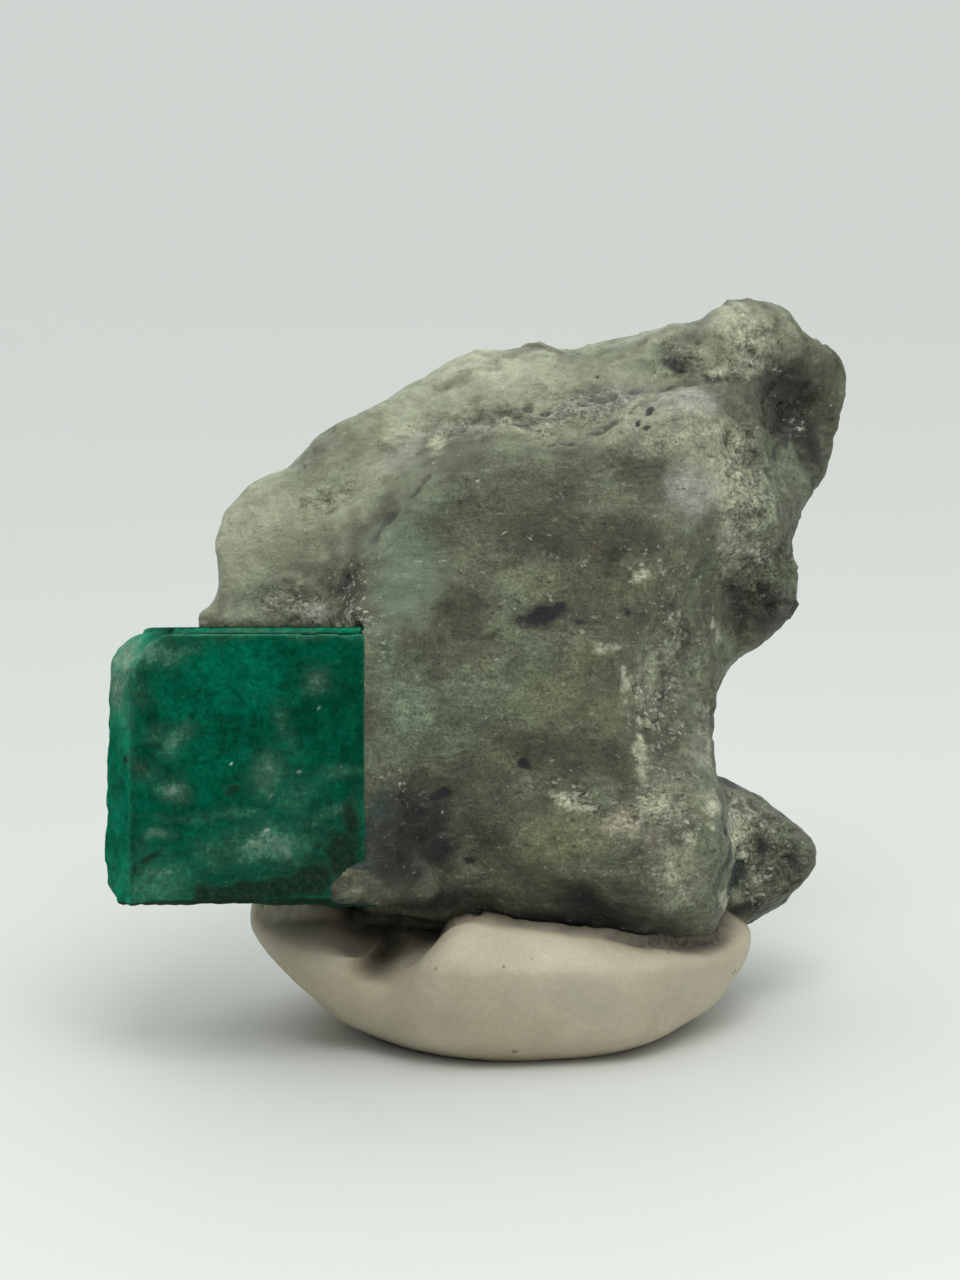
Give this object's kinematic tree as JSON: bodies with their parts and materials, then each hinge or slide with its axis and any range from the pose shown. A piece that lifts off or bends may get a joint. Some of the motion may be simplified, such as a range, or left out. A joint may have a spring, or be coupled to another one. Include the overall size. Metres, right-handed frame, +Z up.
{
  "type": "raw emerald crystal on matrix",
  "caption": "Six-sided green emerald crystal grown in the side of a pale green schist rock, standing on a pressed lump of display putty.",
  "frame": {"origin": "middle of the putty's flat foot, on the surface that the specimen stands on", "axes": "+Z up, -Y towards the front, where the crystal's flat face shows, +X to the right"},
  "size_m": [0.0251, 0.0163, 0.024],
  "materials": {
    "emerald": "satin",
    "rock": "matte",
    "putty": "matte"
  },
  "bodies": {
    "root": {"emerald_crystal": "emerald", "matrix_rock": "rock", "putty_base": "putty"}
  },
  "joints": []
}
